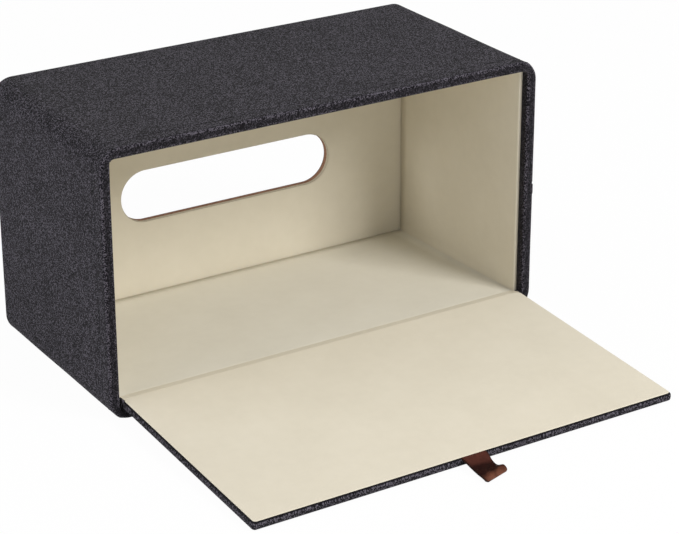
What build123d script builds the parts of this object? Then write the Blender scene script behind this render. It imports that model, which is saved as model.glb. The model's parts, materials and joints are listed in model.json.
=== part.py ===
"""Cloth-covered tissue box lying on one long side, with its hinged inset flap let down.

Millimetres.  +Z is up, +X runs along the box, +Y points away from the open side.
The origin is the middle of the side that the box lies on, so the open rim is the
plane y = -depth / 2 and the panel with the tissue slot is at y = +depth / 2.
The flap is drawn open, resting beyond the lower rim with its free end at the table.
"""
from build123d import *
from math import asin, atan2, cos, degrees, hypot, radians, sin, tan
import os

# ---- outer box -------------------------------------------------------------
length = 250.0            # along X
depth = 120.0             # along Y, from the open rim to the slot panel
height = 140.0            # along Z as it lies
corner_radius = 11.0      # the four long edges, over the cloth

# ---- sheet and board thicknesses -------------------------------------------
cloth = 0.6               # linen outside, and its turn-in behind the rim
wall_board = 4.4          # top, bottom and end walls
slot_board = 2.5          # panel with the tissue slot
liner_board = 1.6         # card behind the lining, glued inside the walls
suede = 0.5               # beige lining sheet
floor_card = 0.8          # card under the lining of the floor
flap_core = 2.9           # board inside the flap

# ---- rim -------------------------------------------------------------------
recess = 5.0              # the lining panels start this far behind the rim
rim_corner_radius = 2.5   # inside corners of the turned-in cloth
cloth_edge_radius = 0.4   # softened edges where the cloth folds over
post_leg = 12.0           # leg of the corner posts between the wall boards

# ---- tissue slot -----------------------------------------------------------
slot_length = 128.0
slot_width = 29.0
slot_x = 6.0              # its middle, right of the middle of the box
slot_z = 61.7             # and its height above the side the box lies on

# ---- lap seam of the outer cloth, on the right end wall ----------------------
seam_z = 71.0             # top of the folded hem
hem_width = 5.0
hem_rise = 0.35           # how far the hem stands proud
seam_groove = 1.6         # the cloth dips above the hem, over this width
seam_dip = 0.3

# ---- flap ------------------------------------------------------------------
flap_side_gap = 0.6       # flap to rim, each side, when closed
flap_root_gap = 0.6       # flap to lower rim when closed
tab_passage = 2.2         # flap to upper rim when closed, for the pull tab
stop_gap = 0.4            # flap to the front edges of the lining when closed
flap_corner_radius = 2.0
flap_turn_in = 12.0       # cloth folded over onto the inner face
lining_inset = 0.9        # lining stops this short of the flap's three free edges
hinge_lift = 0.85         # underside of the open flap above the lower rim
hinge_overhang = 0.4      # back edge of the open flap in front of the rim
table_gap = 0.3           # free end of the open flap above the table

# ---- hinge -----------------------------------------------------------------
batten_width = 8.0        # strip of board that clamps the hinge cloth to the floor
batten_height = 2.4
floor_setback = 1.5       # floor panel behind the other linings, room for the folded strips
hinge_side_gap = 1.6      # the hinge strips stop short of the side linings
strip_gap = 0.1           # hinge strips to the pieces they run on to
panel_gap = 0.1           # floor panel to the linings around it

# ---- closure magnets ---------------------------------------------------------
magnet_diameter = 8.0
magnet_thickness = 2.0
magnet_spacing = 120.0
flap_magnet_inset = 6.0   # disc centre to the flap's free edge
wall_magnet_inset = 5.0   # disc centre to the rim

# ---- leather pull tab --------------------------------------------------------
tab_width = 14.0
tab_thickness = 1.3
tab_root_length = 12.0    # glued in under the lining
tab_root_reach = 0.4      # root beyond the flap's edge
tab_pivot_reach = 1.2     # where the strip bends, beyond the flap's edge
tab_side_gap = 0.1
tab_straight = 4.6        # level run that passes under the rim
tab_dip = (11.4, 0.15)    # lowest point: out from the bend, clear of the table
tab_rise = (15.0, 0.45)   # out from the bend, above the dip
tab_tip = (18.9, 2.1)
tab_bend_radius = 3.0
tab_tip_radius = 1.2

# ---- worked-out places -------------------------------------------------------
front = -depth / 2
back = depth / 2
half_length = length / 2
board_front = front + cloth
board_back = back - cloth - slot_board
wall_depth = cloth + wall_board
cavity_half = half_length - wall_depth
cavity_low = wall_depth
cavity_high = height - wall_depth
rim_thickness = wall_depth + cloth
rim_half = half_length - rim_thickness
rim_low = rim_thickness
rim_high = height - rim_thickness
liner_front = front + recess
liner_half = cavity_half - liner_board
liner_high = cavity_high - liner_board
liner_back = board_back - liner_board
lining_half = liner_half - suede
lining_high = liner_high - suede
lining_back = liner_back - suede

flap_thickness = cloth + flap_core + cloth + suede
flap_width = 2 * (rim_half - flap_side_gap)
flap_length = rim_high - rim_low - flap_root_gap - tab_passage
flap_open_y = front - hinge_overhang
flap_open_z = rim_low + hinge_lift + flap_thickness
flap_closed_y = liner_front - stop_gap
flap_closed_z = rim_low + flap_root_gap

# slope at which the free end of the open flap just clears the table
flap_diagonal = hypot(flap_length, flap_thickness)
flap_slope = asin((flap_open_z - table_gap) / flap_diagonal) - atan2(flap_thickness, flap_length)
flap_turn = radians(90) + flap_slope

# the one axis about which the open flap turns into the closed one
step_y = flap_closed_y - flap_open_y
step_z = flap_closed_z - flap_open_z
half_cot = 0.5 / tan(flap_turn / 2)
hinge_y = (flap_open_y + flap_closed_y) / 2 + half_cot * step_z
hinge_z = (flap_open_z + flap_closed_z) / 2 - half_cot * step_y

# heights inside the flap, measured up from its underside
core_top = cloth + flap_core
turn_in_top = core_top + cloth
root_middle = (core_top + turn_in_top) / 2

# the floor panel slopes down from the hinge batten to the back of the box
floor_back = lining_back - panel_gap
floor_half = lining_half - panel_gap
floor_front = liner_front + floor_setback
batten_back = floor_front + batten_width
batten_top = cavity_low + batten_height
hinge_cloth_top = batten_top + cloth
floor_run = floor_back - batten_back
floor_slope = atan2(hinge_cloth_top - cavity_low, floor_run)
floor_place = Pos(0, floor_back, cavity_low) * Rot(-degrees(floor_slope), 0, 0)
floor_length = (floor_back - floor_front) / cos(floor_slope)
hinge_half = lining_half - hinge_side_gap

flap_place = Pos(0, flap_open_y, flap_open_z) * Rot(degrees(flap_slope), 0, 0)


def block(x0, x1, y0, y1, z0, z1):
    """A box between two corners."""
    middle = Pos((x0 + x1) / 2, (y0 + y1) / 2, (z0 + z1) / 2)
    return middle * Box(x1 - x0, y1 - y0, z1 - z0)


def upright(y):
    """A plane facing the open side: local x is X, local y is Z."""
    return Plane(origin=(0, y, 0), x_dir=(1, 0, 0), z_dir=(0, -1, 0))


def slab(half_width, low, high, radius, y0, y1):
    """A plate parallel to the slot panel, between two depths, with rounded corners."""
    if radius > 0:
        outline = RectangleRounded(2 * half_width, high - low, radius)
    else:
        outline = Rectangle(2 * half_width, high - low)
    return extrude(upright(y1) * Pos(0, (low + high) / 2) * outline, y1 - y0)


def slot_cutter(y0, y1):
    """The round-ended tissue slot, right through a panel between two depths."""
    outline = upright(y1 + 1) * Pos(slot_x, slot_z) * SlotOverall(slot_length, slot_width)
    return extrude(outline, y1 - y0 + 2)


def board_outline(y0, y1):
    """The outside of the boards, under the cloth."""
    return slab(half_length - cloth, cloth, height - cloth, corner_radius - cloth, y0, y1)


def cavity(y0, y1):
    """The space between the wall boards."""
    return slab(cavity_half, cavity_low, cavity_high, 0, y0, y1)


def rim_opening(y0, y1):
    """The opening inside the turned-in cloth."""
    return slab(rim_half, rim_low, rim_high, rim_corner_radius, y0, y1)


def disc(x, y, z):
    """A closure magnet lying level, with its underside at z."""
    return Pos(x, y, z + magnet_thickness / 2) * Cylinder(magnet_diameter / 2, magnet_thickness)


# ---- wall boards ---------------------------------------------------------------
def wall_magnets():
    """Two discs let into the top wall board from below, just behind the rim."""
    y = front + wall_magnet_inset
    return [disc(side * magnet_spacing / 2, y, cavity_high) for side in (-1, 1)]


def top_wall_board():
    half = half_length - cloth - post_leg
    board = block(-half, half, board_front, board_back, cavity_high, height - cloth)
    for magnet in wall_magnets():
        board -= magnet
    return board


def bottom_wall_board():
    half = half_length - cloth - post_leg
    return block(-half, half, board_front, board_back, cloth, cavity_low)


def end_wall_board(side):
    x0, x1 = sorted((side * cavity_half, side * (half_length - cloth)))
    low = cloth + post_leg
    return block(x0, x1, board_front, board_back, low, height - low)


def corner_posts():
    """Rounded posts that join the wall boards along the four long edges."""
    ring = board_outline(board_front, board_back) - cavity(board_front, board_back)
    outer = half_length - cloth
    posts = []
    for side in (-1, 1):
        x0, x1 = sorted((side * (outer - post_leg), side * outer))
        for z0 in (cloth, height - cloth - post_leg):
            posts.append(ring & block(x0, x1, board_front, board_back, z0, z0 + post_leg))
    return Compound([post.solid() for post in posts])


def slot_panel_board():
    return board_outline(board_back, back - cloth) - slot_cutter(board_back, back - cloth)


# ---- outer cloth ---------------------------------------------------------------
def outer_cloth():
    """One band around the walls, folded over the rim and a little way inside it."""
    around = slab(half_length, 0, height, corner_radius, front, back - cloth)
    around -= board_outline(board_front, back)
    around -= cavity(front - 1, liner_front + 1)
    turn_in = cavity(front, liner_front) - rim_opening(front - 1, back)
    band = around + turn_in
    fold = [edge for edge in band.edges() if abs(edge.center().Y - front) < 0.01]
    band = fillet(fold, cloth_edge_radius)
    groove = block(half_length - seam_dip, half_length + 1, front - 1, back,
                   seam_z, seam_z + seam_groove)
    hem = block(half_length - seam_dip, half_length + hem_rise, front + cloth_edge_radius,
                back - cloth, seam_z - hem_width, seam_z)
    return band - groove + hem


def slot_panel_cloth():
    sheet = slab(half_length, 0, height, corner_radius, back - cloth, back)
    rim = [edge for edge in sheet.edges() if abs(edge.center().Y - back) < 0.01]
    return fillet(rim, cloth_edge_radius) - slot_cutter(back - cloth, back)


# ---- lining --------------------------------------------------------------------
def top_liner_board():
    return block(-cavity_half, cavity_half, liner_front + suede, liner_back,
                 liner_high, cavity_high)


def end_liner_board(side):
    x0, x1 = sorted((side * liner_half, side * cavity_half))
    return block(x0, x1, liner_front + suede, liner_back, cavity_low, liner_high)


def back_liner_board():
    return cavity(liner_back, board_back) - slot_cutter(liner_back, board_back)


def top_lining():
    """Lining sheet of the top wall, wrapped over the card's front edge."""
    sheet = block(-liner_half, liner_half, liner_front, lining_back, lining_high, liner_high)
    lip = block(-cavity_half, cavity_half, liner_front, liner_front + suede,
                lining_high, cavity_high)
    return sheet + lip


def end_lining(side):
    x0, x1 = sorted((side * lining_half, side * liner_half))
    sheet = block(x0, x1, liner_front, lining_back, cavity_low, lining_high)
    x0, x1 = sorted((side * lining_half, side * cavity_half))
    lip = block(x0, x1, liner_front, liner_front + suede, cavity_low, lining_high)
    return sheet + lip


def back_lining():
    sheet = block(-liner_half, liner_half, lining_back, liner_back, cavity_low, liner_high)
    return sheet - slot_cutter(lining_back, liner_back)


def floor_liner_card():
    return floor_place * block(-floor_half, floor_half, -floor_length + suede, 0, 0, floor_card)


def floor_lining():
    return floor_place * block(-floor_half, floor_half, -floor_length, 0,
                               floor_card, floor_card + suede)


# ---- hinge ---------------------------------------------------------------------
def hinge_batten():
    return block(-floor_half, floor_half, floor_front, batten_back, cavity_low, batten_top)


def strip(points, half_width):
    """A strip across the box with the given outline in depth and height."""
    side = Plane(origin=(-half_width, 0, 0), x_dir=(0, 1, 0), z_dir=(1, 0, 0))
    return extrude(side * make_face(Polyline(points, close=True)), 2 * half_width)


def flap_point(s, h):
    """Depth and height of a point of the open flap: s from the hinge, h from the underside."""
    drop = h - flap_thickness
    y = flap_open_y - s * cos(flap_slope) - drop * sin(flap_slope)
    z = flap_open_z - s * sin(flap_slope) + drop * cos(flap_slope)
    return y, z


def floor_point(s, h):
    """Depth and height of a point of the floor panel: s from its back edge, h from below."""
    y = floor_back - s * cos(floor_slope) + h * sin(floor_slope)
    z = cavity_low + s * sin(floor_slope) + h * cos(floor_slope)
    return y, z


def hinge_cloth():
    """Linen strip from the batten up to the back edge of the flap."""
    flap_low = flap_point(-strip_gap, core_top)
    flap_high = flap_point(-strip_gap, turn_in_top)
    points = [(batten_back, batten_top), (floor_front, batten_top), flap_low, flap_high,
              (floor_front, hinge_cloth_top), (batten_back, hinge_cloth_top)]
    return strip(points, hinge_half)


def hinge_lining():
    """Lining strip from the front of the floor to the lining of the flap."""
    s = floor_length + strip_gap
    points = [floor_point(s, floor_card), flap_point(-strip_gap, turn_in_top + strip_gap),
              flap_point(-strip_gap, flap_thickness), floor_point(s, floor_card + suede)]
    return strip(points, hinge_half)


# ---- flap: modelled flat, with its inner face at zero, then laid in place --------
def flap_plate(inset, s0, s1, radius, h0, h1):
    """A plate of the flap between two lengths from the hinge and two heights."""
    outline = RectangleRounded(flap_width - 2 * inset, s1 - s0, radius)
    return Pos(0, -(s0 + s1) / 2, h0 - flap_thickness) * extrude(outline, h1 - h0)


def flap_block(x0, x1, s0, s1, h0, h1):
    return block(x0, x1, -s1, -s0, h0 - flap_thickness, h1 - flap_thickness)


def flap_magnet_discs():
    """Two discs let into the flap's board from its inner side, near the free edge."""
    z = core_top - magnet_thickness - flap_thickness
    y = -(flap_length - flap_magnet_inset)
    return [disc(side * magnet_spacing / 2, y, z) for side in (-1, 1)]


def flap_core_plate():
    radius = flap_corner_radius - cloth
    return flap_plate(cloth, cloth, flap_length - cloth, radius, cloth, core_top)


def flap_board():
    plate = flap_core_plate()
    for magnet in flap_magnet_discs():
        plate -= magnet
    return flap_place * plate


def root_notch(side_gap):
    """Where the pull tab's root lies in the turned-in cloth."""
    half = tab_width / 2 + side_gap
    return flap_block(-half, half, flap_length - tab_root_length - side_gap,
                      flap_length + 1, core_top, turn_in_top)


def filler_outline(gap):
    """The window between the turn-ins, on the inner face of the flap."""
    start = flap_turn_in + gap
    half = flap_width / 2 - start
    return flap_block(-half, half, start, flap_length - start, core_top, turn_in_top)


def flap_cloth():
    """Linen around the flap's outer face and edges, folded onto the inner face."""
    wrap = flap_plate(0, 0, flap_length, flap_corner_radius, 0, turn_in_top)
    faces = [-flap_thickness, turn_in_top - flap_thickness]
    folds = [edge for edge in wrap.edges()
             if min(abs(edge.center().Z - z) for z in faces) < 0.01]
    wrap = fillet(folds, cloth_edge_radius)
    wrap -= flap_core_plate()
    wrap -= filler_outline(0)
    wrap -= root_notch(tab_side_gap)
    return flap_place * wrap


def flap_filler_card():
    return flap_place * filler_outline(0)


def flap_lining():
    end = flap_length - lining_inset
    sheet = flap_plate(lining_inset, 0, end, flap_corner_radius, turn_in_top, flap_thickness)
    return flap_place * sheet


def flap_magnets():
    return Compound([flap_place * magnet.solid() for magnet in flap_magnet_discs()])


# ---- pull tab --------------------------------------------------------------------
def pull_tab_root():
    half = tab_width / 2
    end = flap_length + tab_root_reach
    return flap_place * flap_block(-half, half, flap_length - tab_root_length, end,
                                   core_top, turn_in_top)


def pull_tab():
    """The free end of the strip: level past the rim, down to the table and up at the tip."""
    bend_y, bend_z = flap_point(flap_length + tab_pivot_reach, root_middle)
    low = tab_dip[1] + tab_thickness / 2
    points = [(bend_y, bend_z), (bend_y - tab_straight, bend_z), (bend_y - tab_dip[0], low),
              (bend_y - tab_rise[0], low + tab_rise[1]), (bend_y - tab_tip[0], low + tab_tip[1])]
    side = Plane(origin=(-tab_width / 2, 0, 0), x_dir=(0, 1, 0), z_dir=(1, 0, 0))
    profile = trace(FilletPolyline(*points, radius=tab_bend_radius), tab_thickness)
    leather = extrude(side * profile, tab_width)
    corners = [edge for edge in leather.edges().filter_by(GeomType.LINE)
               if edge.center().Y < bend_y - tab_rise[0] and abs(edge.center().X) > tab_width / 2 - 0.01
               and abs(edge.length - tab_thickness) < 0.01]
    leather = fillet(corners, tab_tip_radius)
    root_end = Pos(0, bend_y, bend_z) * Rot(0, 90, 0) * Cylinder(tab_thickness / 2, tab_width)
    return leather + root_end


PIECES = {
    "top_wall_board": top_wall_board,
    "bottom_wall_board": bottom_wall_board,
    "left_wall_board": lambda: end_wall_board(-1),
    "right_wall_board": lambda: end_wall_board(1),
    "corner_posts": corner_posts,
    "slot_panel_board": slot_panel_board,
    "outer_cloth": outer_cloth,
    "slot_panel_cloth": slot_panel_cloth,
    "top_liner_board": top_liner_board,
    "left_liner_board": lambda: end_liner_board(-1),
    "right_liner_board": lambda: end_liner_board(1),
    "back_liner_board": back_liner_board,
    "top_lining": top_lining,
    "left_lining": lambda: end_lining(-1),
    "right_lining": lambda: end_lining(1),
    "back_lining": back_lining,
    "floor_liner_card": floor_liner_card,
    "floor_lining": floor_lining,
    "hinge_batten": hinge_batten,
    "hinge_cloth": hinge_cloth,
    "hinge_lining": hinge_lining,
    "wall_magnets": lambda: Compound([magnet.solid() for magnet in wall_magnets()]),
    "flap_board": flap_board,
    "flap_cloth": flap_cloth,
    "flap_filler_card": flap_filler_card,
    "flap_lining": flap_lining,
    "flap_magnets": flap_magnets,
    "pull_tab_root": pull_tab_root,
    "pull_tab": pull_tab,
}

os.makedirs("parts", exist_ok=True)
for name, make in PIECES.items():
    export_step(make(), f"parts/{name}.step")

bend = flap_point(flap_length + tab_pivot_reach, root_middle)
print(f"hinge axis y {hinge_y:.4f} z {hinge_z:.4f}, turn {degrees(flap_turn):.3f} degrees")
print(f"pull tab bends at y {bend[0]:.4f} z {bend[1]:.4f}")
print(f"flap {flap_width:.1f} x {flap_length:.1f} x {flap_thickness:.1f}")
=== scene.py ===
"""Cloth-covered tissue box lying on one long side, with its inset flap let down.

The dressed model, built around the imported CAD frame.  Lengths below are millimetres in
the CAD model's axes; they become metres where a mesh, a lamp or the camera is made.
"""
import json
from math import asin, atan2, cos, hypot, pi, radians, sin

import bpy
import numpy as np
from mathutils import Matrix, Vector


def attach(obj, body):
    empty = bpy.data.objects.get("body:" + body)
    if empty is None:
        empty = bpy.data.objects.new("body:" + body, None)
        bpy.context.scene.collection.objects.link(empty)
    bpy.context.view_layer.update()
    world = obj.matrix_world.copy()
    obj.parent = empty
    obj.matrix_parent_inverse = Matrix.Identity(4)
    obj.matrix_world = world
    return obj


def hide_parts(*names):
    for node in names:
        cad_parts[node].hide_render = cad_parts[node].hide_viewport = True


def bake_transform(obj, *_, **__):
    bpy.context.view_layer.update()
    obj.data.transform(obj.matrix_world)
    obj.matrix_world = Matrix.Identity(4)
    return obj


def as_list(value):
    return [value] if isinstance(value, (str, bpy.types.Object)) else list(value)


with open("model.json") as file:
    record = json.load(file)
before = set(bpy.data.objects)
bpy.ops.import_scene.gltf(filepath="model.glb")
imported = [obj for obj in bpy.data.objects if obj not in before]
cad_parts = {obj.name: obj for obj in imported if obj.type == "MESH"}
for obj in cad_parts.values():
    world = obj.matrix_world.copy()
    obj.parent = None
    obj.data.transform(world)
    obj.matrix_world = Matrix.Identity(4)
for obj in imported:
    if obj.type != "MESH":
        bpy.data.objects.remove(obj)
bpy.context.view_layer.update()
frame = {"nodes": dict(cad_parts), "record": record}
MM = 0.001

# ---- box, as in the CAD source ---------------------------------------------------
half_length, front, back, height = 125.0, -60.0, 60.0, 140.0
corner_radius = 11.0
cloth, suede = 0.6, 0.5
rim_thickness, rim_corner_radius = 5.6, 2.5
cavity_low = 5.0
liner_front = -55.0
lining_half, lining_high, lining_back = 117.9, 132.9, 54.8
lip_depth = 2.1                      # card and lining, seen at the front edges of the liners
slot_x, slot_z, slot_half, slot_half_width = 6.0, 61.7, 64.0, 14.5
seam_z, hem_width, hem_rise, seam_groove, seam_dip = 71.0, 5.0, 0.35, 1.6, 0.3

# ---- floor panel -------------------------------------------------------------------
floor_back, floor_front, floor_half = 54.7, -53.5, 117.8
floor_card = 0.8
batten_back, hinge_cloth_top = -45.5, 8.0
floor_slope = atan2(hinge_cloth_top - cavity_low, floor_back - batten_back)
floor_length = (floor_back - floor_front) / cos(floor_slope)
hinge_half = 117.7                   # the hinge strips end here at both sides
nose_radius = 2.2                    # rounded cloth beside the hinge

# ---- flap --------------------------------------------------------------------------
flap_half, flap_length, flap_thickness = 118.8, 126.0, 4.6
flap_corner_radius, flap_turn_in, lining_inset = 2.0, 12.0, 0.9
core_top, turn_in_top = 3.5, 4.1
flap_open_y, flap_open_z, table_gap = -60.4, 11.05, 0.3
flap_slope = (asin((flap_open_z - table_gap) / hypot(flap_length, flap_thickness))
              - atan2(flap_thickness, flap_length))

# ---- pull tab ----------------------------------------------------------------------
tab_half_width, tab_root_length = 7.0, 12.0

# ---- softness that the CAD model leaves out ------------------------------------------
fold_radius = 1.25                   # cloth turned over the edge of a board
stitch_row = 7.6                     # row of stitches behind the rim
stitch_pitch, stitch_length, stitch_width = 2.6, 1.9, 0.62
stitch_dent = 0.22
rim_face_painted_shade = -1.3                 # painted shade: the rim's face and its turn-in are painted darker


# ---- shapes ----------------------------------------------------------------------------
def places_round(steps, corner_steps, extra=None):
    """Places round a rounded rectangle: side, share of the way along it, turn in its corner."""
    rows = []
    for side in range(4):
        along = np.linspace(0, 1, steps[side % 2] + 1)
        if extra and side in extra:
            along = np.union1d(along, np.round(extra[side], 6))
        rows += [(side, share, 0.0) for share in along]
        rows += [(side, 1.0, turn) for turn in np.linspace(0, pi / 2, corner_steps + 1)[1:-1]]
    return np.array(rows)


def outline(places, half, low, high, radius, middle=0.0):
    """Points and outward normals of a rounded rectangle, counter-clockwise from low left."""
    radius = max(radius, 0.02)
    x, low, high = half - radius, low + radius, high - radius
    centres = np.array([(-x, low), (x, low), (x, high), (-x, high)])
    side = places[:, 0].astype(int)
    angle = (side - 1) * pi / 2 + places[:, 2]
    normal = np.stack([np.cos(angle), np.sin(angle)], 1)
    step = (centres[(side + 1) % 4] - centres[side]) * places[:, 1:2]
    return centres[side] + step + radius * normal + (middle, 0), normal


def arc(centre, radius, start, end, steps=6):
    """Points of an arc between two angles in degrees."""
    turn = np.radians(np.linspace(start, end, steps + 1))
    return [(centre[0] + radius * np.cos(t), centre[1] + radius * np.sin(t)) for t in turn]


def lengths(points, closed=False):
    """Distance walked along a line of points, from zero."""
    points = np.asarray(points, float)
    if closed:
        points = np.vstack([points, points[:1]])
    return np.concatenate([[0], np.cumsum(np.linalg.norm(np.diff(points, axis=0), axis=1))])


def unevenness(a, b, seed, wavelength=45.0):
    """A smooth random surface between about -1 and 1 over two coordinates."""
    random = np.random.default_rng(seed)
    total = np.zeros(np.broadcast(a, b).shape)
    for _ in range(6):
        turn, phase = random.uniform(0, 2 * pi, 2)
        rate = 2 * pi / (wavelength * random.uniform(0.6, 1.8))
        total += np.sin(rate * (a * cos(turn) + b * sin(turn)) + phase)
    return total / 4


def bell(distance, width):
    return np.exp(-(distance / width) ** 2)


def ease(value):
    value = np.clip(value, 0, 1)
    return value * value * (3 - 2 * value)


class Shell:
    """Points, faces and weave coordinates of one piece, all in millimetres."""

    def __init__(self):
        self.points, self.faces, self.weave, self.painted_light_and_edge_tone = [], [], [], []

    def grid(self, points, weave, closed=(False, False), painted_light_and_edge_tone=None):
        """Quads over an (n, m) grid; weave has one more row or column where it closes."""
        points = np.asarray(points, float)
        rows, columns = points.shape[:2]
        first = len(self.points)
        self.points += [tuple(p) for p in points.reshape(-1, 3)]
        painted_light_and_edge_tone = np.zeros((rows, columns)) if painted_light_and_edge_tone is None else np.broadcast_to(painted_light_and_edge_tone, (rows, columns))
        self.painted_light_and_edge_tone += list(painted_light_and_edge_tone.ravel())
        for i in range(rows - (not closed[0])):
            for j in range(columns - (not closed[1])):
                corners = [(i, j), (i + 1, j), (i + 1, j + 1), (i, j + 1)]
                self.faces.append([first + (a % rows) * columns + b % columns
                                   for a, b in corners])
                self.weave += [tuple(weave[a, b]) for a, b in corners]
        return first

    def cap(self, indices, weave):
        self.faces.append(list(indices))
        self.weave += [tuple(w) for w in weave]

    def run(self, rows, along, profile, painted_light_and_edge_tone=None):
        """Rows of one closed profile each, joined along their run and capped at both ends."""
        self.grid(rows, weave_grid(along, lengths(profile, closed=True)), (False, True), painted_light_and_edge_tone)
        count, last = len(profile), (len(along) - 1) * len(profile)
        self.cap(range(count)[::-1], profile[::-1])
        self.cap([last + i for i in range(count)], profile)

    def make(self, name, material, body, slot, *replaced):
        """The finished object: smooth, closed, with its normals outwards."""
        mesh = bpy.data.meshes.new(name)
        mesh.from_pydata([tuple(c * MM for c in p) for p in self.points], [], self.faces)
        layer = mesh.uv_layers.new(name="weave")
        layer.data.foreach_set("uv", np.array(self.weave, np.float32).ravel())
        # per-point marks: painted light on the linen pieces, darker cut edges on the leather
        painted_highlight_and_marks = mesh.attributes.new("painted_light_and_edge_tone", "FLOAT", "POINT")
        painted_highlight_and_marks.data.foreach_set("value", np.array(self.painted_light_and_edge_tone, np.float32))
        mesh.validate()
        mesh.polygons.foreach_set("use_smooth", [True] * len(mesh.polygons))
        mesh.update()
        mesh.materials.append(material)
        thing = bpy.data.objects.new(name, mesh)
        bpy.context.scene.collection.objects.link(thing)
        if body:
            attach(thing, body)
        if replaced:
            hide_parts(*replaced)
        return thing


def steps_of(first, last, step):
    count = max(1, round(abs(last - first) / step))
    return np.linspace(first, last, count + 1)


def weave_grid(u, v):
    """Weave coordinates of a grid from the ones along its rows and its columns."""
    return np.stack(np.meshgrid(u, v, indexing="ij"), 2)


def plate(rings, place, lay, name, material, body, slot, *replaced, painted_light_and_edge_tone=None):
    """A closed plate from rings (half, low, high, radius, level), capped at both ends.

    lay(x, s, level) gives the points in the box's axes."""
    shell = Shell()
    flat = [outline(place, *ring[:4])[0] for ring in rings]
    levels = [ring[4] for ring in rings]
    points = np.stack([lay(p[:, 0], p[:, 1], level) for p, level in zip(flat, levels)], 1)
    _, normal = outline(place, *rings[0][:4])
    halves = np.array([ring[0] for ring in rings])
    folded = lengths(np.stack([halves, levels], 1)) - lengths(np.stack([halves, halves * 0], 1))
    weave = np.stack([p + normal * extra for p, extra in zip(flat, folded)], 1)
    shell.grid(points, np.concatenate([weave, weave[:1]]), (True, False), painted_light_and_edge_tone)
    count, rows = points.shape[:2]
    shell.cap([i * rows for i in range(count)][::-1], weave[::-1, 0])
    shell.cap([i * rows + rows - 1 for i in range(count)], weave[:, -1])
    return shell.make(name, material, body, slot, *replaced)


# ---- outer cloth -----------------------------------------------------------------------
def band_places():
    """Stations round the box, close together at the lap seam of the right end wall."""
    low, high = corner_radius, height - corner_radius
    zs = [seam_z - hem_width - 0.6, seam_z - hem_width, seam_z - hem_width + 0.5,
          seam_z - 0.5, seam_z - 0.15, seam_z + 0.15, seam_z + 0.5, seam_z + seam_groove - 0.5,
          seam_z + seam_groove]
    return places_round((80, 44), 12, {1: [(z - low) / (high - low) for z in zs]})


def band_profile():
    """Depth, share of the way across the rim, inset from the outer or inner outline."""
    outside = [(y, 0.0, 0.0, 0.0) for y in (back - cloth, 58.6)]
    outside += [(y, 0.0, 0.0, 1.0) for y in steps_of(58, front + stitch_row + 2.4, 8)]
    outside += [(front + stitch_row + d, 0.0, 0.0, 1.0)
                for d in (1.2, 0.7, 0.35, 0, -0.35, -0.7, -1.2, -2.4)]
    outside += [(y, 0.0, 0.0, 1.0) for y in (front + 3.4, front + 2.2)]
    fold = [(front + fold_radius + b, 0.0, fold_radius + a, 0.6)
            for a, b in arc((0, 0), fold_radius, 180, 270)]
    face = [(front, share, None, 0.3) for share in (0.35, 0.5, 0.65)]
    turned = [(front + fold_radius + b, 1.0, -fold_radius + a, 0.3)
              for a, b in arc((0, 0), fold_radius, 270, 360)]
    inside = [(y, 1.0, 0.0, 0.1) for y in (front + 3, liner_front - 0.2)]
    hidden = [(liner_front, 1.0, -cloth, 0.0), (front + fold_radius + 0.3, 1.0, -cloth, 0.0),
              (front + cloth + 0.15, 1.0, -fold_radius, 0.0),
              (front + cloth + 0.1, 0.0, fold_radius, 0.0),
              (front + fold_radius + 0.3, 0.0, cloth, 0.0), (back - cloth, 0.0, cloth, 0.0)]
    return outside + fold + face + turned + inside + hidden


def hem_height(x, z):
    """How far the lapped cloth stands out on the right end wall."""
    on = ease((z - (seam_z - hem_width - 0.6)) / 0.8) * ease((seam_z + 0.15 - z) / 0.4)
    groove = ease((z - seam_z) / 0.4) * ease((seam_z + seam_groove + 0.2 - z) / 0.7)
    return np.where(x > half_length - 8, hem_rise * on - seam_dip * groove, 0.0)


def linen_band():
    place = band_places()
    outer, normal = outline(place, half_length, 0, height, corner_radius)
    inner, _ = outline(place, half_length - rim_thickness, rim_thickness,
                       height - rim_thickness, rim_corner_radius)
    around = lengths(outer, closed=True)
    rows = []
    for y, share, inset, loose in band_profile():
        if inset is None:
            flat = outer + (inner - outer) * share
            out = np.zeros_like(normal)
        else:
            flat = (outer if share == 0 else inner) - inset * normal
            out = normal
        puff = 0.10 * loose * unevenness(around[:-1], y, 3, 30) * (share == 0)
        puff *= ease((outer[:, 1] - 0.5) / 4)
        puff += 0.35 * bell(place[:, 2] - radians(58), radians(7)) * ease((front + 5 - y) / 5)
        dent = stitch_dent * bell(y - front - stitch_row, 0.55) * (share == 0) * (loose == 1)
        lap = hem_height(outer[:, 0], outer[:, 1]) * min(1, loose * 1.6)
        flat = flat + out * (puff - dent + lap)[:, None]
        tuck = mitre(place) * (share > 0) * (loose > 0) + 0.25 * lap * (inset is None)
        rows.append(np.stack([flat[:, 0], y - tuck, flat[:, 1]], 1))
    points = np.stack(rows, 1)
    shell = Shell()
    middle = len(place) // 8
    shell.grid(points, weave_grid(around, lengths(points[middle], closed=True)), (True, True),
               band_painted_light(place))
    return shell.make("linen_band", LINEN, "shell", "linen", "outer_cloth")


def band_painted_light(place):
    """Painted highlight along the folds and the mitres of the rim; painted shade on its face, its
    turn-in and beside each fold.
    """
    rows = []
    for y, share, inset, loose in band_profile():
        if inset is None:
            # painted highlight along each mitre, on the rim's face painted in shade
            fold_line = 2.2 * bell(place[:, 2] - radians(43), radians(4))
            rows.append(rim_face_painted_shade + fold_line)
        elif loose == 0 or y > front + fold_radius + 0.01:
            rows.append(np.full(len(place), rim_face_painted_shade if share == 1 else 0.0))
        else:
            # painted highlight along the middle of each fold, painted shade beside it
            strength = 1.0 if share == 0 else 0.5
            middle = bell((y - front) / fold_radius - 0.3, 0.35)
            rows.append(np.full(len(place), (strength + 0.8) * middle - 0.8))
    return np.stack(rows, 1)


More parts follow.
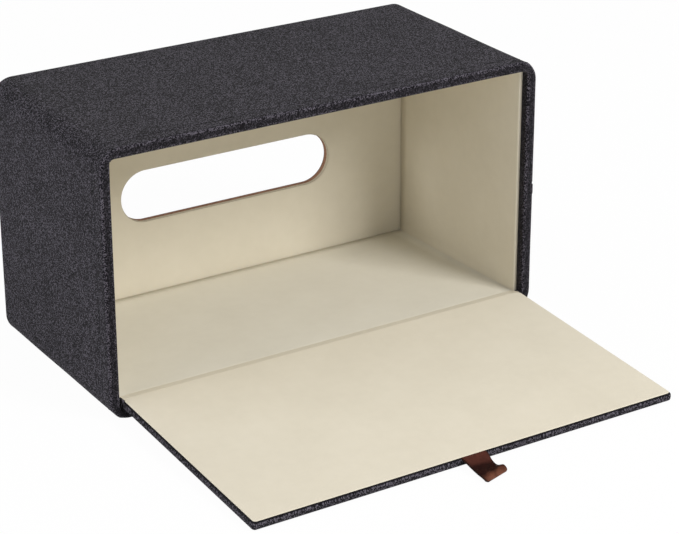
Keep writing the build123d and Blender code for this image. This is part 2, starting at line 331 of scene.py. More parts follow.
def mitre(place):
    """Cloth folded over itself on the rim at each corner, thicker on one side of the fold."""
    _, along, turn = place.T
    over = ease((turn - radians(38)) / radians(8)) * (turn > 0)
    start = np.where((turn == 0) & (along < 0.5), bell(along, 0.05), 0.0)
    return 0.28 * np.maximum(over, start)


def slot_places():
    return places_round((60, 8), 16)


def holed_sheet(outer_rings, inner_rings, lay, name, material, slot, *replaced):
    """A sheet with the tissue slot in it, as one closed skin through outer and inner rings."""
    place = slot_places()
    rings = [outline(place, *ring[:4])[0] for ring in outer_rings]
    levels = [ring[4] for ring in outer_rings]
    hole = [outline(place, *ring[:4], middle=slot_x)[0] for ring in inner_rings]
    skin = [1 / 24, 1 / 8, 1 / 4, 3 / 8, 1 / 2, 5 / 8, 3 / 4, 7 / 8]
    flat, level = list(rings), list(levels)
    for share in skin:
        flat.append(rings[-1] + (hole[0] - rings[-1]) * share)
        level.append(levels[-1] + (inner_rings[0][4] - levels[-1]) * share)
    flat += hole
    level += [ring[4] for ring in inner_rings]
    points = np.stack([lay(p[:, 0], p[:, 1], h) for p, h in zip(flat, level)], 1)
    weave = np.stack([p + (0.0, 0.7 * h) for p, h in zip(flat, level)], 1)
    weave = np.concatenate([weave, weave[:1]])
    weave = np.concatenate([weave, weave[:, :1]], 1)
    shell = Shell()
    shell.grid(points, weave, (True, True))
    return shell.make(name, material, "shell", slot, *replaced)


def slot_ring(grow, level):
    """The slot's outline, grown all round by some millimetres."""
    width = slot_half_width + grow
    return (slot_half + grow, slot_z - width, slot_z + width, width - 0.1, level)


def linen_slot_panel():
    edge = [(a, b) for a, b in arc((0.55, -0.55), 0.55, 180, 90, 5)]
    outer = [(half_length - 0.4, 0.4, height - 0.4, corner_radius - 0.4, -cloth)]
    outer += [(half_length - a, a, height - a, corner_radius - a, b) for a, b in edge]
    inner = [slot_ring(0.35, 0.0), slot_ring(0.1, -0.08), slot_ring(0.0, -0.3),
             slot_ring(0.0, -cloth)]

    def lay(x, s, level):
        wave = 0.08 * unevenness(x, s, 5, 40) if level == 0 else 0
        return np.stack([x, back + level + wave + 0 * x, s], 1)

    return holed_sheet(outer, inner, lay, "linen_slot_panel", LINEN, "linen", "slot_panel_cloth")


def stitches():
    """Dark thread round the box behind the rim: one short sunk bead for each stitch."""
    place = places_round((400, 220), 60)
    outer, normal = outline(place, half_length, 0, height, corner_radius)
    around = lengths(outer, closed=True)
    count = round(around[-1] / stitch_pitch)
    random = np.random.default_rng(11)
    shares, sides = (-0.5, -0.42, -0.25, 0, 0.25, 0.42, 0.5), 8
    shell = Shell()
    closed = np.vstack([outer, outer[:1]])
    normals = np.vstack([normal, normal[:1]])
    for k in range(count):
        middle = (k + 0.5) * around[-1] / count + random.uniform(-0.12, 0.12)
        length = stitch_length * random.uniform(0.9, 1.08)
        y = front + stitch_row + random.uniform(-0.07, 0.07)
        rings = []
        for share in shares:
            at = (middle + share * length) % around[-1]
            base = np.array([np.interp(at, around, closed[:, c]) for c in (0, 1)])
            out = np.array([np.interp(at, around, normals[:, c]) for c in (0, 1)])
            out /= np.linalg.norm(out)
            swell = np.sqrt(max(0.06, 1 - (2 * share) ** 4)) * stitch_width / 2
            sunk = -stitch_dent + 0.16 - 0.30 * (2 * share) ** 2
            lift = hem_height(base[0], base[1])
            ring = []
            for turn in np.linspace(0, 2 * pi, sides + 1)[:-1]:
                rise = sunk + 0.75 * swell * np.sin(turn) + lift
                ring.append((base[0] + out[0] * rise, y + swell * np.cos(turn),
                             base[1] + out[1] * rise))
            rings.append(ring)
        weave = weave_grid(np.arange(len(shares)) * 0.3, np.arange(sides + 1) * 0.25)
        first = shell.grid(rings, weave, (False, True))
        last = first + (len(shares) - 1) * sides
        shell.cap([first + i for i in range(sides)][::-1], [(0, 0)] * sides)
        shell.cap([last + i for i in range(sides)], [(0, 0)] * sides)
    return shell.make("stitch_thread", THREAD, "shell", "linen")


# ---- linings ---------------------------------------------------------------------------
def lip_profile():
    """Depth and distance behind the lining's face, round a sheet wrapped over its card."""
    radius = 0.8
    face = [(y, 0.0) for y in steps_of(lining_back - 0.05, liner_front + 3, 6)]
    lip = arc((liner_front + radius, radius), radius, 270, 180)
    rest = [(liner_front, 1.5), (liner_front, lip_depth), (liner_front + suede, lip_depth),
            (liner_front + suede, suede), (lining_back - 0.05, suede)]
    return np.array(face + lip + rest)


def wall_lining(name, along, lay, seed, node):
    """One lining sheet with its front edge wrapped over the card, run along the wall."""
    profile = lip_profile()
    faces = profile[:, 1] < 0.01
    rows = []
    for a in along:
        wave = 0.07 * (unevenness(a, profile[:, 0], seed) - 1) * faces
        wave *= ease((profile[:, 0] - liner_front) / 12)
        rows.append(lay(np.full(len(profile), a), profile[:, 0], profile[:, 1] - wave))
    shell = Shell()
    shell.run(rows, along - along[0], profile)
    return shell.make(name, SUEDE, "shell", "suede", node)


def wall_linings():
    across = steps_of(-lining_half - 0.05, lining_half + 0.05, 7)
    up = steps_of(cavity_low + 0.02, lining_high - 0.03, 7)
    wall_lining("suede_top", across,
                lambda a, y, out: np.stack([a, y, lining_high + out], 1), 21, "top_lining")
    wall_lining("suede_left", up,
                lambda a, y, out: np.stack([-lining_half - out, y, a], 1), 22, "left_lining")
    wall_lining("suede_right", up,
                lambda a, y, out: np.stack([lining_half + out, y, a], 1), 23, "right_lining")


def suede_back():
    """Lining of the slot panel, cut a little back from the slot and rounded at its edge."""
    inset = 0.05
    half, low, high = lining_half + suede - inset, cavity_low + inset, lining_high + suede - inset
    outer = [(half, low, high, 0.3, suede), (half, low, high, 0.3, 0.15),
             (half - 0.15, low + 0.15, high - 0.15, 0.3, 0.0)]
    inner = [slot_ring(0.9, 0.0), slot_ring(0.45, 0.06), slot_ring(0.25, 0.25),
             slot_ring(0.3, suede)]

    def lay(x, s, level):
        wave = 0.05 * (1 + unevenness(x, s, 24)) if level == 0 else 0
        return np.stack([x, lining_back + level + wave + 0 * x, s], 1)

    return holed_sheet(outer, inner, lay, "suede_back", SUEDE, "suede", "back_lining")


def floor_point(s, h):
    """Depth and height of a point of the floor panel: s from its back edge, h from below."""
    y = floor_back - s * np.cos(floor_slope) + h * sin(floor_slope)
    z = cavity_low + s * np.sin(floor_slope) + h * cos(floor_slope)
    return y, z


def flap_point(s, h):
    """Depth and height of a point of the open flap: s from the hinge, h from the underside."""
    drop = h - flap_thickness
    y = flap_open_y - s * cos(flap_slope) - drop * sin(flap_slope)
    z = flap_open_z - s * sin(flap_slope) + drop * cos(flap_slope)
    return y, z


def suede_floor():
    top, low = floor_card + suede, floor_card
    radius = 0.16
    faces = [(s, top) for s in steps_of(0.05, floor_length - 2, 6)]
    lip = arc((floor_length - radius, top - radius), radius, 90, 0, 5)
    profile = np.array(faces + lip + [(floor_length, 0.1), (floor_length - 0.42, 0.1),
                                      (floor_length - 0.42, low), (0.05, low)])
    along = steps_of(-floor_half, floor_half, 7)
    rows = []
    for a in along:
        face = profile[:, 1] > top - 0.01
        wave = 0.07 * (unevenness(a, profile[:, 0], 25) - 1) * face
        wave *= ease(profile[:, 0] / 10) * ease((floor_length - profile[:, 0]) / 10)
        y, z = floor_point(profile[:, 0], profile[:, 1] + wave)
        rows.append(np.stack([np.full(len(profile), a), y, z], 1))
    shell = Shell()
    shell.run(rows, along - along[0], profile)
    return shell.make("suede_floor", SUEDE_FLOOR, "shell", "suede", "floor_lining")


# ---- hinge -----------------------------------------------------------------------------
def hinge_strip(name, line, thickness, material, slot, node, ends=()):
    """A strip between the floor and the flap, from a line of depth and height."""
    line = np.array(line)
    along = np.gradient(line, axis=0)
    along /= np.linalg.norm(along, axis=1)[:, None]
    under = line - thickness * np.stack([along[:, 1], -along[:, 0]], 1)
    profile = np.vstack([line, under[::-1]])
    across = steps_of(-hinge_half, hinge_half, 6)
    shell = Shell()
    rows = [np.stack([np.full(len(profile), x), profile[:, 0], profile[:, 1]], 1)
            for x in across]
    for out, fold in ends:
        rows = ([np.stack([np.full(len(profile), -hinge_half - out), *fold.T], 1)] + rows
                + [np.stack([np.full(len(profile), hinge_half + out), *fold.T], 1)])
    across = np.array([row[0, 0] for row in rows])
    shell.run(rows, across, profile)
    strip = shell.make(name, material, None, slot, node)
    start, end = line[0] * MM, line[-1] * MM
    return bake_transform(strip, "shell", "flap", start=(0, *start), end=(0, *end))


def curve(points, steps=24):
    """A smooth line through a few points, by Catmull-Rom."""
    points = np.array(points, float)
    padded = np.vstack([2 * points[0] - points[1], points, 2 * points[-1] - points[-2]])
    line = []
    for a, b, c, d in zip(padded, padded[1:], padded[2:], padded[3:]):
        for t in np.linspace(0, 1, steps, endpoint=False):
            line.append(0.5 * (2 * b + (c - a) * t + (2 * a - 5 * b + 4 * c - d) * t ** 2
                               + (3 * b - a - 3 * c + d) * t ** 3))
    line.append(points[-1])
    return np.array(line)


def nose(count, rear, share):
    """The rounded end of the cloth that lies beside the hinge, as thick as the flap."""
    turn = np.linspace(0, pi / 2, 12)
    straight = np.linspace(rear - nose_radius, flap_open_y - 0.3, count - len(turn) + 1)[1:]
    along = np.concatenate([rear - nose_radius + nose_radius * np.cos(turn), straight])
    rise = np.sqrt(np.clip(1 - (np.maximum(along - rear + nose_radius, 0) / nose_radius) ** 2,
                           0.002, 1))
    middle = flap_open_z - flap_thickness / 2 - 0.05
    top = np.stack([along, middle + nose_radius * rise * share], 1)
    low = np.stack([along, middle - nose_radius * rise * share], 1)
    return np.vstack([top, low[::-1]])


# how far each section of the rounded end lies beyond the strip, and its share of the thickness
nose_sections = ((0.05, 1.0), (0.45, 1.0), (0.8, 0.94), (1.05, 0.8), (1.15, 0.6))
lining_strip, cloth_strip = 0.42, 0.5


def hinge_strips():
    top = floor_card + suede
    y0, z0 = floor_point(floor_length - 0.05, top - 0.02)
    y1, z1 = flap_point(0.02, flap_thickness - 0.30)
    lining = curve([(y0, z0), (y0 - 0.5, z0 + 0.10), ((y0 + y1) / 2, (z0 + z1) / 2 + 0.20),
                    (y1 + 0.9, z1 + 0.16), (y1 + 0.3, z1 + 0.14), (y1, z1)], 4)
    hinge_strip("suede_hinge", lining, lining_strip, SUEDE, "suede", "hinge_lining")
    y2, z2 = flap_point(-0.05, turn_in_top - 0.05)
    under = curve([(floor_front + 0.2, hinge_cloth_top), ((floor_front + y2) / 2, 9.0),
                   (y2, z2)], 11)
    ends = [(out, nose(len(under), liner_front - 0.25, share)) for out, share in nose_sections]
    hinge_strip("linen_hinge", under, cloth_strip, LINEN, "linen", "hinge_cloth", ends)


# ---- flap --------------------------------------------------------------------------------
def lay_on_flap(x, s, level):
    y, z = flap_point(s, level)
    return np.stack([x, y + 0 * x, z + 0 * x], 1)


def flap_ring(inset, level, radius=flap_corner_radius):
    return (flap_half - inset, inset, flap_length - inset, max(radius - inset, 0.3), level)


def linen_flap():
    """Cloth round the flap's outer face and edges, folded onto its inner face."""
    low, high = 1.25, 1.15
    rings = [flap_ring(i, 0.0) for i in (40, 20, 12, 6, 3)]
    rings += [flap_ring(low + a, low + b) for a, b in arc((0, 0), low, 270, 180)]
    rings += [flap_ring(-0.06, 2.2)]
    rings += [flap_ring(high + a, turn_in_top - high + b) for a, b in arc((0, 0), high, 180, 90)]
    rings += [flap_ring(i, turn_in_top) for i in (3, 8, flap_turn_in)]
    rings += [flap_ring(flap_turn_in, core_top, 2), flap_ring(1.4, core_top),
              flap_ring(cloth, core_top - 0.6), flap_ring(cloth, 1.2), flap_ring(1.4, cloth),
              flap_ring(30, cloth)]

    def lay(x, s, level):
        edge = np.minimum.reduce([flap_half - np.abs(x), s, flap_length - s])
        wave = 0.06 * unevenness(x, s, 31, 60) * (level == 0) * ease(edge / 8)
        return lay_on_flap(x, s, level + wave)

    place = places_round((90, 50), 10)
    # painted highlight along the flap's upper fold, strongest at its front edge; painted shade on
    # the turn-in beside the lining
    ahead = ease((outline(place, *rings[7][:4])[0][:, 1] - flap_length + 3) / 2)
    fold = [bell(ring[4] - turn_in_top + 0.95, 0.38) for ring in rings]
    turn_in_painted_shade = [-2.0 * ease((ring[4] - turn_in_top + 0.60) / 0.3) for ring in rings]
    painted_light_and_edge_tone = np.outer(0.25 + 0.85 * ahead, fold) + np.array(turn_in_painted_shade)
    return plate(rings, place, lay, "linen_flap", LINEN, "flap", "linen", "flap_cloth",
                 painted_light_and_edge_tone=painted_light_and_edge_tone)


def suede_flap():
    """Lining of the flap, short of its three free edges, with soft cut edges."""
    def ring(inset, level):
        return (flap_half - lining_inset - inset, inset * 0.4,
                flap_length - lining_inset - inset, max(1.6 - inset, 0.3), level)

    low, top = turn_in_top + 0.02, flap_thickness
    rings = [ring(40, low), ring(0.1, low), ring(0.0, low + 0.12)]
    rings += [ring(0.3 + a, top - 0.3 + b) for a, b in arc((0, 0), 0.3, 180, 90, 4)]
    rings += [ring(i, top) for i in (1.2, 3, 7, 13, 20, 28, 36, 44, 52, 60)]

    def lay(x, s, level):
        edge = np.minimum.reduce([flap_half - np.abs(x), s, flap_length - s])
        wave = 0.10 * (unevenness(x, s, 32, 60) - 1) * (level == top) * ease((edge - 1.5) / 12)
        return lay_on_flap(x, s, level + wave)

    return plate(rings, places_round((90, 50), 8), lay, "suede_flap", SUEDE, "flap", "suede",
                 "flap_lining")


# ---- pull tab ----------------------------------------------------------------------------
# upper face of the strip's two long edges in depth and height, from the flap's edge to the
# tip: the left one falls gently, the right one dips to the table, rises and curls over
tab_left = [(-186.1, 4.50), (-188.6, 4.45), (-191.5, 3.95), (-194.8, 3.40), (-197.6, 3.00),
            (-200.2, 2.78), (-202.3, 2.66), (-204.2, 2.40), (-205.4, 2.02), (-206.1, 1.50)]
tab_right = [(-186.1, 4.50), (-188.2, 3.85), (-190.4, 2.35), (-193.1, 1.42), (-195.6, 1.70),
             (-197.7, 2.80), (-199.7, 3.85), (-201.6, 3.72), (-202.9, 2.75), (-203.3, 1.75)]
tab_cut, tab_root_cut = 1.1, 0.6       # thickness of the free strip and of its glued root


def tab_lines(shares):
    """Lines along the strip, one for each share of the way from its left to its right edge."""
    root = flap_point(flap_length - tab_root_length, core_top + 0.55)
    near = flap_point(flap_length - 4, core_top + 0.55)
    left, right = (curve([root, near] + edge, 8) for edge in (tab_left, tab_right))
    return [left + (right - left) * share for share in shares]


def leather_tab():
    half, round_off = tab_half_width, 0.28
    turns, middle = (0.35, 0.9, 1.4), np.linspace(-half + 0.6, half - 0.6, 13)
    across = np.concatenate([[-half + round_off * (1 - cos(t)) for t in turns], middle,
                             [half - round_off * (1 - cos(t)) for t in turns[::-1]]])
    drop = np.concatenate([[round_off * (1 - sin(t)) for t in turns], 0 * middle,
                           [round_off * (1 - sin(t)) for t in turns[::-1]]])
    lines = np.array(tab_lines((across + half) / (2 * half)))
    along = np.gradient(lines, axis=1)
    along /= np.linalg.norm(along, axis=2)[:, :, None]
    up = np.stack([along[:, :, 1], -along[:, :, 0]], 2)
    walked = lengths(lines[len(across) // 2])
    rows = []
    for k, gone in enumerate(walked):
        thick = tab_root_cut + (tab_cut - tab_root_cut) * ease((gone - tab_root_length + 0.5) / 2)
        narrow = 1 - tip_inset(walked[-1] - gone) / half
        top, low = [], []
        for i, x in enumerate(across):
            for points, level in ((top, -drop[i]), (low, drop[i] - thick)):
                y, z = lines[i, k] + up[i, k] * level
                points.append((x * narrow, y, z))
        rows.append(top + low[::-1])
    section = np.stack([np.concatenate([across, across[::-1]]),
                        np.concatenate([-drop, drop[::-1] - tab_cut])], 1)
    shell = Shell()
    edge = np.concatenate([bell(half - np.abs(across), 0.5)] * 2)
    shell.run(rows, walked, section, edge)
    tab = shell.make("leather_tab", LEATHER, None, "leather", "pull_tab", "pull_tab_root")
    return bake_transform(tab)


def tip_inset(left):
    """How much the strip narrows close to its rounded tip."""
    radius = 1.5
    if left >= radius:
        return 0.0
    return radius - np.sqrt(max(0.0, radius ** 2 - (radius - left) ** 2))


# ---- materials -----------------------------------------------------------------------------
class Paint:
    """A node material in the making."""

    def __init__(self, name):
        self.material = bpy.data.materials.new(name)
        self.material.use_nodes = True
        self.tree = self.material.node_tree
        self.shader = self.tree.nodes["Principled BSDF"]

    def feed(self, socket, value):
        if isinstance(value, bpy.types.NodeSocket):
            self.tree.links.new(value, socket)
        else:
            socket.default_value = value

    def node(self, kind, outlet=0, settings=None, **inputs):
        made = self.tree.nodes.new("ShaderNode" + kind)
        for key, value in (settings or {}).items():
            setattr(made, key, value)
        for key, value in inputs.items():
            self.feed(made.inputs[key], value)
        return made.outputs[outlet]

    def math(self, operation, *values):
        made = self.tree.nodes.new("ShaderNodeMath")
        made.operation = operation
        for socket, value in zip(made.inputs, values):
            self.feed(socket, value)
        return made.outputs[0]

    def vector(self, x=0.0, y=0.0, z=0.0):
        return self.node("CombineXYZ", X=x, Y=y, Z=z)

    def noise(self, vector, scale, detail=2.0, rough=0.5):
        return self.node("TexNoise", Vector=vector, Scale=scale, Detail=detail,
                         Roughness=rough)

    def ramp(self, value, *stops):
        made = self.tree.nodes.new("ShaderNodeValToRGB")
        while len(made.color_ramp.elements) < len(stops):
            made.color_ramp.elements.new(0.5)
        for element, (place, colour) in zip(made.color_ramp.elements, stops):
            element.position, element.color = place, (*colour, 1)
        self.feed(made.inputs["Fac"], value)
        return made.outputs["Color"]

    def mix(self, share, first, second, blend="MIX"):
        made = self.tree.nodes.new("ShaderNodeMix")
        made.data_type, made.blend_type = "RGBA", blend
        for socket, value in zip([made.inputs[k] for k in (0, 6, 7)], (share, first, second)):
            self.feed(socket, value)
        return made.outputs[2]

    def between(self, value, low, high):
        return self.math("MULTIPLY_ADD", value, high - low, low)

    def bump(self, height, distance, strength=1.0, under=None):
        made = self.node("Bump", Height=height, Distance=distance * MM, Strength=strength)
        if under is not None:
            self.feed(made.node.inputs["Normal"], under)
        return made

    def finish(self, **inputs):
        for key, value in inputs.items():
            self.feed(self.shader.inputs[key.replace("_", " ")], value)
        return self.material


def weave_uv(paint):
    flat = paint.node("UVMap", settings={"uv_map": "weave"})
    split = paint.tree.nodes.new("ShaderNodeSeparateXYZ")
    paint.feed(split.inputs[0], flat)
    return flat, split.outputs[0], split.outputs[1]


def thread_cells(paint, across):
    """The number of each thread, and its rounded height over its width."""
    number = paint.math("FLOOR", across)
    share = paint.math("SUBTRACT", paint.math("FRACT", across), 0.5)
    round_top = paint.math("SUBTRACT", 1.0, paint.math("MULTIPLY", 4.0,
                           paint.math("MULTIPLY", share, share)))
    return number, round_top


def linen_material(name, dark, middle, light, pitch=0.48):
    """Plain weave of slubby two-tone yarn, with painted highlight along the folds and painted shade
    on the rim's face and the turn-ins.
    """
    paint = Paint(name)
    flat, u, v = weave_uv(paint)
    wander = paint.between(paint.noise(flat, 0.06), -0.8, 0.8)
    across_u = paint.math("DIVIDE", paint.math("ADD", u, wander), pitch)
    across_v = paint.math("DIVIDE", paint.math("ADD", v, wander), pitch)
    warp, warp_top = thread_cells(paint, across_u)
    weft, weft_top = thread_cells(paint, across_v)
    parity = paint.math("ABSOLUTE", paint.math("MODULO", paint.math("ADD", warp, weft), 2.0))
    warp_high = paint.math("MULTIPLY", warp_top, paint.between(parity, 0.35, 1.0))
    weft_high = paint.math("MULTIPLY", weft_top, paint.between(parity, 1.0, 0.35))
    over = paint.math("GREATER_THAN", warp_high, weft_high)
    slub_u = paint.noise(paint.vector(paint.math("MULTIPLY", warp, 7.31),
                                      paint.math("MULTIPLY", v, 0.75)), 1.0, 2.0, 0.6)
    slub_v = paint.noise(paint.vector(paint.math("MULTIPLY", u, 0.75),
                                      paint.math("MULTIPLY_ADD", weft, 5.77, 40.0)),
                         1.0, 2.0, 0.6)
    slub = paint.mix(over, slub_v, slub_u)
    fibre = paint.node("TexWhiteNoise", Vector=paint.vector(warp, weft, over))
    tone = paint.math("MULTIPLY_ADD", fibre, 0.66, paint.math("MULTIPLY", slub, 0.34))
    cloud = paint.noise(flat, 0.045, 3.0)
    tone = paint.math("ADD", tone, paint.between(cloud, -0.07, 0.07))
    painted_light_and_edge_tone = paint.node("Attribute", outlet="Fac", settings={"attribute_name": "painted_light_and_edge_tone"})
    # positive marks lighten alternate threads: painted highlight along the folds
    painted_highlight_and_marks = paint.math("MAXIMUM", painted_light_and_edge_tone, 0.0)
    tone = paint.math("MULTIPLY_ADD", painted_highlight_and_marks, paint.between(parity, 0.05, 0.30), tone)
    colour = paint.ramp(tone, (0.28, dark), (0.52, middle), (0.80, light))
    # negative marks darken the cloth towards black: painted shade on the rim's face and the
    # turn-ins
    sunk = paint.math("MULTIPLY", paint.math("MAXIMUM", paint.math("MULTIPLY", painted_light_and_edge_tone, -1.0), 0.0),
                      0.5)
    colour = paint.mix(sunk, colour, (0.0078, 0.0068, 0.0096, 1))
    height = paint.math("MAXIMUM", warp_high, weft_high)
    shade = paint.ramp(height, (0.0, (0.30,) * 3), (0.75, (1.0,) * 3))
    colour = paint.mix(1.0, colour, shade, "MULTIPLY")
    height = paint.math("ADD", height, paint.math("MULTIPLY", tone, 0.8))
    normal = paint.bump(height, 0.16, 0.7)
    return paint.finish(Base_Color=colour, Roughness=0.85, Specular_IOR_Level=0.08,
                        Sheen_Weight=0.05, Sheen_Roughness=0.5, Normal=normal)


def suede_material(name, green=1.0, blue=1.0):
    paint = Paint(name)
    flat, _, _ = weave_uv(paint)
    cloud = paint.noise(flat, 0.03, 3.0)
    patch = paint.noise(flat, 0.16, 4.0, 0.6)
    grain = paint.noise(flat, 2.4, 3.0, 0.7)
    tone = paint.math("ADD", paint.math("MULTIPLY", cloud, 0.5),
                      paint.math("ADD", paint.math("MULTIPLY", patch, 0.3),
                                 paint.math("MULTIPLY", grain, 0.2)))
    colour = paint.ramp(tone, (0.30, (0.665, 0.615 * green, 0.500 * blue)),
                        (0.50, (0.695, 0.645 * green, 0.528 * blue)),
                        (0.70, (0.722, 0.672 * green, 0.556 * blue)))
    normal = paint.bump(grain, 0.05, 0.5, paint.bump(patch, 0.10, 0.4))
    return paint.finish(Base_Color=colour, Roughness=0.92, Specular_IOR_Level=0.15,
                        Sheen_Weight=0.08, Sheen_Roughness=0.6, Normal=normal)


def leather_material():
    """Waxed leather with painted shade in the hollow and painted highlight where it is bent
    outwards; dark on its cut edges.
    """
    paint = Paint("leather_brown")
    flat, along, _ = weave_uv(paint)
    cells = paint.node("TexVoronoi", Vector=flat, Scale=1.5)
    patch = paint.noise(flat, 0.35, 4.0, 0.6)
    # along the strip: painted shade in the hollow, painted highlight on the curled tip
    place = paint.math("DIVIDE", paint.math("ADD", along, paint.between(patch, -2.0, 2.0)), 34.0)
    colour = paint.ramp(place, (0.36, (0.074, 0.0215, 0.0150)), (0.50, (0.060, 0.0170, 0.0115)),
                        (0.57, (0.016, 0.0030, 0.0018)), (0.77, (0.018, 0.0036, 0.0022)),
                        (0.86, (0.105, 0.038, 0.022)), (0.97, (0.150, 0.060, 0.038)))
    mottle = paint.ramp(patch, (0.3, (0.75,) * 3), (0.7, (1.25,) * 3))
    colour = paint.mix(1.0, colour, mottle, "MULTIPLY")
    painted_light_and_edge_tone = paint.node("Attribute", outlet="Fac", settings={"attribute_name": "painted_light_and_edge_tone"})
    colour = paint.mix(paint.math("MULTIPLY", painted_light_and_edge_tone, 0.8), colour, (0.012, 0.004, 0.003, 1))
    grain = paint.ramp(cells, (0.0, (0.0,) * 3), (0.45, (1.0,) * 3))
    normal = paint.bump(grain, 0.05, 0.3, paint.bump(patch, 0.2, 0.25))
    rough = paint.between(patch, 0.55, 0.70)
    return paint.finish(Base_Color=colour, Roughness=rough, Specular_IOR_Level=0.07,
                        Normal=normal)


def thread_material():
    paint = Paint("stitch_thread")
    flat, along, around = weave_uv(paint)
    ply = paint.math("SINE", paint.math("MULTIPLY", paint.math("ADD", along, around), 9.0))
    colour = paint.ramp(paint.between(ply, 0.5, 0.8), (0.0, (0.006, 0.006, 0.008)),
                        (1.0, (0.022, 0.020, 0.025)))
    return paint.finish(Base_Color=colour, Roughness=0.6, Specular_IOR_Level=0.3,
                        Normal=paint.bump(ply, 0.05, 0.6))


def board_material(name, dark, light, speck):
    """Pressed board or card: fibres and specks, seen only at cut edges."""
    paint = Paint(name)
    place = paint.node("TexCoord", outlet="Object")
    fibre = paint.noise(place, 900.0, 4.0, 0.7)
    specks = paint.noise(place, 2600.0, 1.0)
    colour = paint.ramp(fibre, (0.3, dark), (0.7, light))
    colour = paint.mix(paint.math("GREATER_THAN", specks, 0.66), colour, (*speck, 1))
    return paint.finish(Base_Color=colour, Roughness=0.85, Specular_IOR_Level=0.2,
                        Normal=paint.bump(fibre, 0.08, 0.5))


def magnet_material():
    paint = Paint("nickel_plate")
    place = paint.node("TexCoord", outlet="Object")
    scuff = paint.noise(place, 700.0, 4.0, 0.7)
    rough = paint.between(scuff, 0.22, 0.42)
    colour = paint.ramp(scuff, (0.3, (0.52, 0.51, 0.49)), (0.7, (0.66, 0.65, 0.62)))
    return paint.finish(Base_Color=colour, Metallic=1.0, Roughness=rough)


def dress_cad_nodes():
    """Materials for the CAD nodes that stay: boards, cards and magnets."""
    finishes = {"board": BOARD, "card": CARD, "magnet": MAGNET}
    for name, thing in frame["nodes"].items():
        slot = next(p["material_slot"] for p in frame["record"]["subparts"]
                    if p["node"] == name)
        if slot in finishes:
            thing.data.materials.clear()
            thing.data.materials.append(finishes[slot])


def declare_sheets():
    """The sizes, in metres, that the cloths were cut to, and what they are glued to."""
    walls = ["top_wall_board", "bottom_wall_board", "left_wall_board", "right_wall_board"]
    cuts = [("linen_band", 0.766, 0.130, walls),
            ("linen_slot_panel", 0.250, 0.140, ["slot_panel_board"]),
            ("linen_flap", 0.270, 0.158, ["flap_board"]),
            ("suede_flap", 0.2358, 0.1251, ["flap_filler_card", "flap_board"]),
            ("suede_floor", 0.2356, 0.1083, ["floor_liner_card"]),
            ("suede_back", 0.2368, 0.1284, ["back_liner_board"]),
            ("suede_top", 0.2360, 0.1120, ["top_liner_board"]),
            ("suede_left", 0.1284, 0.1120, ["left_liner_board"]),
            ("suede_right", 0.1284, 0.1120, ["right_liner_board"])]
    for name, width, length, boards in cuts:
        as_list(boards)


# ---- stage -----------------------------------------------------------------------------
floor_glow = 0.97                    # share of the floor that is plain white to the camera
ambient_level = 0.47
stage_half = 6.0                     # metres
lamp_aim = (0.0, -0.04, 0.06)        # metres
picture_width, picture_height = 679, 534
focal_length, centre_x, centre_y = 2281.0, 339.8, 233.32     # pixels


def seen_directly(paint):
    """1 for camera, glossy and transmission rays."""
    light = paint.tree.nodes.new("ShaderNodeLightPath")
    seen = paint.math("MAXIMUM", light.outputs["Is Camera Ray"], light.outputs["Is Glossy Ray"])
    return paint.math("MAXIMUM", seen, light.outputs["Is Transmission Ray"])


def white_floor():
    paint = Paint("floor_white")
    paint.finish(Base_Color=(0.86, 0.86, 0.86, 1), Roughness=0.9, Specular_IOR_Level=0.1)
    glow = paint.tree.nodes.new("ShaderNodeEmission")
    mixed = paint.tree.nodes.new("ShaderNodeMixShader")
    share = paint.math("MULTIPLY", seen_directly(paint), floor_glow)
    paint.feed(mixed.inputs[0], share)
    paint.feed(mixed.inputs[1], paint.shader.outputs[0])
    paint.feed(mixed.inputs[2], glow.outputs[0])
    output = next(n for n in paint.tree.nodes if n.type == "OUTPUT_MATERIAL")
    paint.feed(output.inputs["Surface"], mixed.outputs[0])
    mesh = bpy.data.meshes.new("floor")
    corners = [(-1, -1), (1, -1), (1, 1), (-1, 1)]
    mesh.from_pydata([(a * stage_half, b * stage_half, 0) for a, b in corners],
                     [], [(0, 1, 2, 3)])
    mesh.materials.append(paint.material)
    floor = bpy.data.objects.new("floor", mesh)
    bpy.context.scene.collection.objects.link(floor)


def white_world():
    world = bpy.data.worlds.new("studio")
    world.use_nodes = True
    bpy.context.scene.world = world
    tree = world.node_tree
    tree.nodes.clear()
    light = tree.nodes.new("ShaderNodeLightPath")
    output = tree.nodes.new("ShaderNodeOutputWorld")
    mixed = tree.nodes.new("ShaderNodeMixShader")
    ambient, seen = (tree.nodes.new("ShaderNodeBackground") for _ in range(2))
    ambient.inputs["Strength"].default_value = ambient_level
    ambient.inputs["Color"].default_value = (1, 1, 1, 1)
    seen.inputs["Strength"].default_value = 1.0
    seen.inputs["Color"].default_value = (1, 1, 1, 1)
    tree.links.new(light.outputs["Is Camera Ray"], mixed.inputs[0])
    tree.links.new(ambient.outputs[0], mixed.inputs[1])
    tree.links.new(seen.outputs[0], mixed.inputs[2])
    tree.links.new(mixed.outputs[0], output.inputs["Surface"])


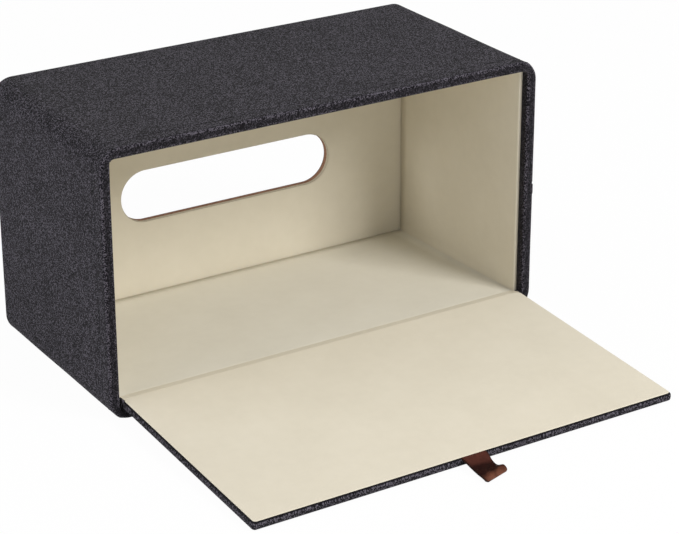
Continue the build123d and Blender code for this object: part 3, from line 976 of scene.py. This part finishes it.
def lamp(name, azimuth, elevation, distance, size, level, colour=(1, 1, 1)):
    """A soft square lamp; level is what it adds to a white surface that faces it."""
    a, e = radians(azimuth), radians(elevation)
    aim = np.array(lamp_aim)
    towards = np.array([sin(a) * cos(e), -cos(a) * cos(e), sin(e)])
    data = bpy.data.lights.new(name, "AREA")
    data.shape, data.size = "SQUARE", size
    data.energy = level * pi ** 2 * distance ** 2
    data.color = colour
    thing = bpy.data.objects.new(name, data)
    thing.location = aim + towards * distance
    thing.rotation_mode = "QUATERNION"
    thing.rotation_quaternion = Vector(towards).to_track_quat("Z", "Y")
    bpy.context.scene.collection.objects.link(thing)


def make_camera():
    data = bpy.data.cameras.new("camera")
    data.sensor_width = 36.0
    data.lens = focal_length * 36.0 / picture_width
    data.shift_x = (picture_width / 2 - centre_x) / picture_width
    data.shift_y = -(picture_height / 2 - centre_y) / picture_width
    data.clip_start, data.clip_end = 0.05, 50
    camera = bpy.data.objects.new("camera", data)
    camera.location = (-0.54976, -0.94772, 0.51168)
    camera.rotation_euler = (radians(67.133), radians(0.125), radians(-32.074))
    bpy.context.scene.collection.objects.link(camera)
    bpy.context.scene.camera = camera


make_camera()
white_world()
white_floor()
lamp("key", 25, 37, 1.6, 0.55, 0.77, (1.0, 0.985, 0.965))
lamp("fill", -108, 14, 1.6, 0.9, 0.36)
lamp("side", -77, 12, 1.6, 0.9, 0.10)
bpy.context.scene.view_settings.view_transform = "Standard"

LINEN = linen_material("linen_charcoal", (0.0010, 0.0008, 0.0016), (0.0058, 0.0050, 0.0077),
                       (0.134, 0.123, 0.151))
SUEDE = suede_material("suede_beige")
SUEDE_FLOOR = suede_material("suede_beige_floor", 1.03, 1.08)
LEATHER = leather_material()
THREAD = thread_material()
BOARD = board_material("board_brown", (0.20, 0.095, 0.055), (0.36, 0.20, 0.13),
                       (0.12, 0.05, 0.03))
CARD = board_material("card_cream", (0.42, 0.37, 0.27), (0.56, 0.51, 0.40), (0.35, 0.29, 0.2))
MAGNET = magnet_material()

dress_cad_nodes()
linen_band()
linen_slot_panel()
stitches()
wall_linings()
suede_back()
suede_floor()
hinge_strips()
linen_flap()
suede_flap()
leather_tab()
declare_sheets()
